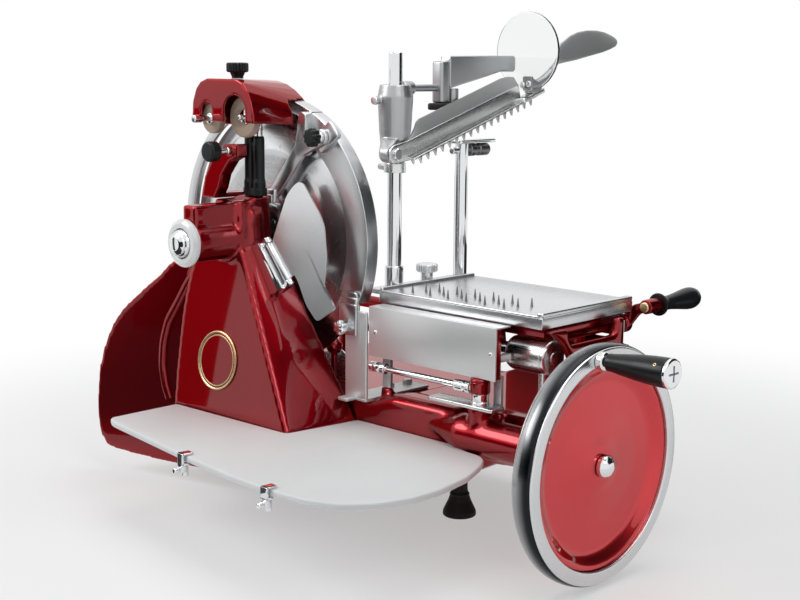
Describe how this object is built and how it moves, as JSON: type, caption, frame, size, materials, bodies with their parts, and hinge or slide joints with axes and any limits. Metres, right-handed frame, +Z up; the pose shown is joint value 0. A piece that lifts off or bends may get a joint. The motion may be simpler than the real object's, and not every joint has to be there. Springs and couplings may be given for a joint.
{
  "type": "hand crank meat slicer",
  "caption": "Red hand-cranked slicer with a side flywheel geared to a round blade, a sliding spiked table with a screw feed and meat press, a sharpener hood and a receiving tray.",
  "frame": {"origin": "middle of the bounding box in plan, on the surface that the feet stand on", "axes": "+X along the carriage's travel towards the flywheel, +Y along the blade's shaft towards the table's rear edge, +Z up"},
  "size_m": [0.7765, 0.6978, 0.568],
  "materials": {
    "red_enamel": "gloss",
    "polished_steel": "satin",
    "chrome": "gloss",
    "pale_steel": "satin",
    "light_enamel": "gloss",
    "dark_steel": "satin",
    "grey_aluminium": "satin",
    "black_rubber": "matte",
    "black_plastic": "gloss",
    "clear_plastic": "gloss",
    "badge_brass": "satin",
    "grinding_grit": "matte",
    "drive_steel": "satin"
  },
  "bodies": {
    "frame": {"base_casting": "red_enamel", "column_casting": "red_enamel", "badge_plate": "badge_brass", "foot_front_left": "black_rubber", "foot_front_middle": "black_rubber", "foot_front_right": "black_rubber", "foot_rear_left": "black_rubber", "foot_rear_right": "black_rubber", "cap_ring": "light_enamel", "drive_chain": "drive_steel", "fixed_guard": "polished_steel", "guard_ring": "polished_steel", "guard_bracket": "pale_steel", "deflector_bracket": "chrome", "sharpener_post": "black_plastic", "hood_pins": "chrome", "sharpener_arm": "red_enamel", "guide_bar": "polished_steel", "guide_head": "pale_steel", "drive_cover": "pale_steel", "splash_plate": "pale_steel", "tie_rod_pivot": "red_enamel"},
    "flywheel": {"wheel_rim": "polished_steel", "wheel_disc": "red_enamel", "hub_cap": "chrome", "main_shaft": "drive_steel", "grip_spindle": "chrome"},
    "crank_grip": {"crank_grip": "black_plastic"},
    "cross_shaft": {"cross_shaft": "drive_steel"},
    "blade": {"blade_disc": "polished_steel", "blade_hub": "dark_steel", "blade_shaft": "drive_steel"},
    "cap_button": {"cap_button": "chrome"},
    "guard_knob": {"guard_knob": "black_plastic"},
    "guard_bolt": {"guard_bolt": "chrome"},
    "guard_latch": {"guard_latch": "red_enamel"},
    "slice_deflector": {"slice_deflector": "polished_steel"},
    "sharpener_hood": {"sharpener_hood": "red_enamel"},
    "hood_knob": {"hood_knob": "black_plastic"},
    "grinding_stone": {"grinding_stone": "grinding_grit"},
    "honing_stone": {"honing_stone": "grinding_grit"},
    "arm_knob": {"arm_knob": "black_plastic"},
    "tray": {"receiving_tray": "light_enamel", "tray_clip_left": "chrome", "tray_clip_right": "chrome"},
    "tie_rod": {"tie_rod": "chrome"},
    "carriage": {"carriage_frame": "red_enamel"},
    "table": {"meat_table": "chrome", "front_post": "chrome", "rear_post": "chrome"},
    "fence_knob": {"fence_knob": "chrome"},
    "feed_crank": {"feed_crank": "red_enamel"},
    "feed_grip": {"feed_grip": "black_plastic"},
    "post_collar": {"post_collar": "polished_steel"},
    "press": {"press_clamp": "grey_aluminium", "press_arm": "grey_aluminium", "press_pad": "black_rubber", "press_plate": "grey_aluminium", "hand_guard": "clear_plastic", "press_lever": "grey_aluminium"}
  },
  "joints": [
    {"name": "flywheel_spin", "type": "hinge", "parent": "frame", "child": "flywheel", "pos_m": [0.3055, -0.08513, 0.124], "axis": [1, 0, 0], "continuous": true},
    {"name": "crank_grip_spin", "type": "hinge", "parent": "flywheel", "child": "crank_grip", "pos_m": [0.3055, -0.10313, 0.232], "axis": [1, 0, 0], "continuous": true},
    {"name": "cross_shaft_spin", "type": "hinge", "parent": "frame", "child": "cross_shaft", "pos_m": [-0.1745, -0.14313, 0.124], "axis": [0, 1, 0], "continuous": true},
    {"name": "blade_spin", "type": "hinge", "parent": "frame", "child": "blade", "pos_m": [-0.1745, -0.08313, 0.308], "axis": [0, 1, 0], "continuous": true},
    {"name": "cap_button_turn", "type": "hinge", "parent": "frame", "child": "cap_button", "pos_m": [-0.1745, -0.22813, 0.308], "axis": [0, 1, 0], "continuous": true},
    {"name": "guard_knob_turn", "type": "hinge", "parent": "frame", "child": "guard_knob", "pos_m": [-0.0785, -0.11813, 0.425], "axis": [0, 1, 0], "continuous": true},
    {"name": "guard_bolt_turn", "type": "hinge", "parent": "frame", "child": "guard_bolt", "pos_m": [-0.0405, -0.11113, 0.217], "axis": [0, 1, 0], "continuous": true},
    {"name": "guard_latch_lift", "type": "slide", "parent": "frame", "child": "guard_latch", "axis": [0, 0, 1], "range_m": [0, 0.012]},
    {"name": "deflector_swing", "type": "hinge", "parent": "frame", "child": "slice_deflector", "pos_m": [-0.1305, -0.13713, 0.304], "axis": [0.65, 0, -0.76], "range_deg": [0, 45]},
    {"name": "sharpener_hood_lift", "type": "slide", "parent": "frame", "child": "sharpener_hood", "axis": [0, 0, 1], "range_m": [0, 0.024]},
    {"name": "hood_knob_turn", "type": "hinge", "parent": "sharpener_hood", "child": "hood_knob", "pos_m": [-0.1685, -0.14913, 0.495], "axis": [0, 0, 1], "continuous": true},
    {"name": "grinding_stone_spin", "type": "hinge", "parent": "sharpener_hood", "child": "grinding_stone", "pos_m": [-0.2015, -0.15813, 0.443], "axis": [0, 1, 0], "continuous": true},
    {"name": "honing_stone_spin", "type": "hinge", "parent": "sharpener_hood", "child": "honing_stone", "pos_m": [-0.1525, -0.15113, 0.446], "axis": [0, 1, 0], "continuous": true},
    {"name": "arm_knob_turn", "type": "hinge", "parent": "frame", "child": "arm_knob", "pos_m": [-0.1685, -0.19813, 0.408], "axis": [0, 1, 0], "continuous": true},
    {"name": "tray_pull", "type": "slide", "parent": "frame", "child": "tray", "axis": [0, -1, 0], "range_m": [0, 0.12]},
    {"name": "tie_rod_swing", "type": "hinge", "parent": "frame", "child": "tie_rod", "pos_m": [0.1505, -0.09513, 0.176], "axis": [0, 0, 1], "range_deg": [0, 6]},
    {"name": "carriage_slide", "type": "slide", "parent": "frame", "child": "carriage", "axis": [1, 0, 0], "range_m": [-0.18, 0]},
    {"name": "table_feed", "type": "slide", "parent": "carriage", "child": "table", "axis": [0, 1, 0], "range_m": [0, 0.096]},
    {"name": "feed_crank_turn", "type": "hinge", "parent": "table", "child": "feed_crank", "pos_m": [0.1975, 0.08687, 0.228], "axis": [0, 1, 0], "continuous": true},
    {"name": "feed_grip_spin", "type": "hinge", "parent": "feed_crank", "child": "feed_grip", "pos_m": [0.2275, 0.13687, 0.25], "axis": [0, 1, 0], "continuous": true},
    {"name": "fence_knob_turn", "type": "hinge", "parent": "table", "child": "fence_knob", "pos_m": [-0.0315, 0.01887, 0.27], "axis": [0, 0, 1], "continuous": true},
    {"name": "press_slide", "type": "slide", "parent": "table", "child": "post_collar", "axis": [0, 0, 1], "range_m": [-0.05, 0.03]},
    {"name": "press_swing", "type": "hinge", "parent": "post_collar", "child": "press", "pos_m": [-0.0275, -0.04013, 0.44], "axis": [0, 0, 1], "range_deg": [-90, 0]}
  ],
  "couplings": [
    {"joint": "cross_shaft_spin", "follows": "flywheel_spin", "ratio": 1},
    {"joint": "blade_spin", "follows": "flywheel_spin", "ratio": 3},
    {"joint": "feed_crank_turn", "follows": "table_feed", "rad_per_m": 523.6}
  ]
}
